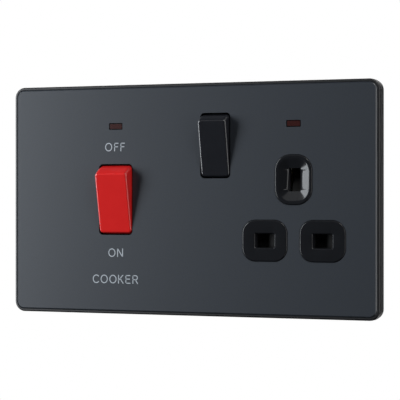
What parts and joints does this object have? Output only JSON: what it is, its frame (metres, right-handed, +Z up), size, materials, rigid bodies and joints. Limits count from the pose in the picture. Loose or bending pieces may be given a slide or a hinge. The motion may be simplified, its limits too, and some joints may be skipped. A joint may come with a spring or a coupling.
{
  "type": "cooker control unit",
  "caption": "Screwless two-gang plate with a red double-pole cooker switch and a switched three-pin socket.",
  "frame": {"origin": "midway between the two fixing holes, on the wall", "axes": "+X right along the wall, +Y into the wall, +Z up"},
  "size_m": [0.147, 0.0348, 0.0864],
  "materials": {
    "coated_face": "satin powder coat",
    "carrier_black": "moulded black",
    "frame_steel": "dark plated steel",
    "moulding_black": "moulded black",
    "base_white": "moulded white",
    "rocker_red": "moulded red",
    "rocker_black": "moulded black",
    "plunger_nylon": "natural nylon",
    "spring_wire": "spring wire",
    "shutter_nylon": "black nylon",
    "copper": "rolled copper strip",
    "brass": "machined brass",
    "silver": "silver contact",
    "screw_steel": "zinc plated",
    "lens_red": "tinted moulding",
    "lamp_glass": "clear bulb",
    "resistor_body": "lacquered"
  },
  "bodies": {
    "housing": {"busbar_cover": "base_white", "cooker_base": "base_white", "cooker_base_screws": "screw_steel", "cooker_fixed_tips": "silver", "cooker_front": "moulding_black", "cooker_load_strip_live": "copper", "cooker_load_strip_neutral": "copper", "cooker_load_terminal_live": "brass", "cooker_load_terminal_neutral": "brass", "cooker_neon_lamp": "lamp_glass", "cooker_neon_lens": "lens_red", "cooker_resistor": "resistor_body", "cooker_supply_strip_live": "copper", "cooker_supply_strip_neutral": "copper", "cooker_supply_terminal_live": "brass", "cooker_supply_terminal_neutral": "brass", "cooker_terminal_screws": "screw_steel", "earth_pin_contact": "brass", "earth_strap": "copper", "earth_terminal_left": "brass", "earth_terminal_right": "brass", "earth_terminal_screws": "screw_steel", "face_plate": "coated_face", "live_busbar": "copper", "live_pin_contact": "brass", "mounting_frame": "frame_steel", "neutral_busbar": "copper", "neutral_pin_contact": "brass", "pin_surrounds": "moulding_black", "plate_carrier": "carrier_black", "shutter_spring": "spring_wire", "socket_base": "base_white", "socket_base_screws": "screw_steel", "socket_fixed_tips": "silver", "socket_front": "moulding_black", "socket_fulcrum_live": "copper", "socket_fulcrum_neutral": "copper", "socket_load_strip_live": "copper", "socket_load_strip_neutral": "copper", "socket_neon_lamp": "lamp_glass", "socket_neon_lens": "lens_red", "socket_resistor": "resistor_body"},
    "cooker_rocker": {"cooker_rocker": "rocker_red", "cooker_plunger_spring_live": "spring_wire", "cooker_plunger_spring_neutral": "spring_wire"},
    "cooker_plungers": {"cooker_plunger_live": "plunger_nylon", "cooker_plunger_neutral": "plunger_nylon"},
    "cooker_bars": {"cooker_contact_bar_live": "copper", "cooker_contact_bar_neutral": "copper", "cooker_moving_tips": "silver"},
    "socket_rocker": {"socket_rocker": "rocker_black", "socket_plunger_spring_live": "spring_wire", "socket_plunger_spring_neutral": "spring_wire"},
    "socket_plungers": {"socket_plunger_live": "plunger_nylon", "socket_plunger_neutral": "plunger_nylon"},
    "socket_bars": {"socket_contact_bar_live": "copper", "socket_contact_bar_neutral": "copper", "socket_moving_tips": "silver"},
    "shutter": {"shutter": "shutter_nylon"}
  },
  "joints": [
    {"name": "cooker_rocker_tip", "type": "hinge", "parent": "housing", "child": "cooker_rocker", "pos_m": [-0.0302, -0.0015, 0], "axis": [1, 0, 0], "range_deg": [-24, 0]},
    {"name": "cooker_plunger_press", "type": "slide", "parent": "cooker_rocker", "child": "cooker_plungers", "axis": [0, -0.9781, -0.2079], "range_m": [0, 0.0005], "stiffness_N_per_m": 800, "deforming": ["cooker_plunger_spring_live", "cooker_plunger_spring_neutral"]},
    {"name": "cooker_bars_rock", "type": "hinge", "parent": "housing", "child": "cooker_bars", "pos_m": [-0.0302, 0.00665, 0], "axis": [1, 0, 0], "range_deg": [0, 12]},
    {"name": "socket_rocker_tip", "type": "hinge", "parent": "housing", "child": "socket_rocker", "pos_m": [0.0104, -0.002, 0.0199], "axis": [1, 0, 0], "range_deg": [-22, 0]},
    {"name": "socket_plunger_press", "type": "slide", "parent": "socket_rocker", "child": "socket_plungers", "axis": [0, -0.9816, -0.1908], "range_m": [0, 0.0005], "stiffness_N_per_m": 800, "deforming": ["socket_plunger_spring_live", "socket_plunger_spring_neutral"]},
    {"name": "socket_bars_rock", "type": "hinge", "parent": "housing", "child": "socket_bars", "pos_m": [0.0104, 0.00535, 0.0199], "axis": [1, 0, 0], "range_deg": [0, 11]},
    {"name": "shutter_slide", "type": "slide", "parent": "housing", "child": "shutter", "axis": [0, 0, -1], "range_m": [0, 0.0065], "stiffness_N_per_m": 60, "deforming": ["shutter_spring"]}
  ],
  "couplings": [
    {"joint": "cooker_bars_rock", "follows": "cooker_rocker_tip", "ratio": -0.5},
    {"joint": "socket_bars_rock", "follows": "socket_rocker_tip", "ratio": -0.5}
  ]
}
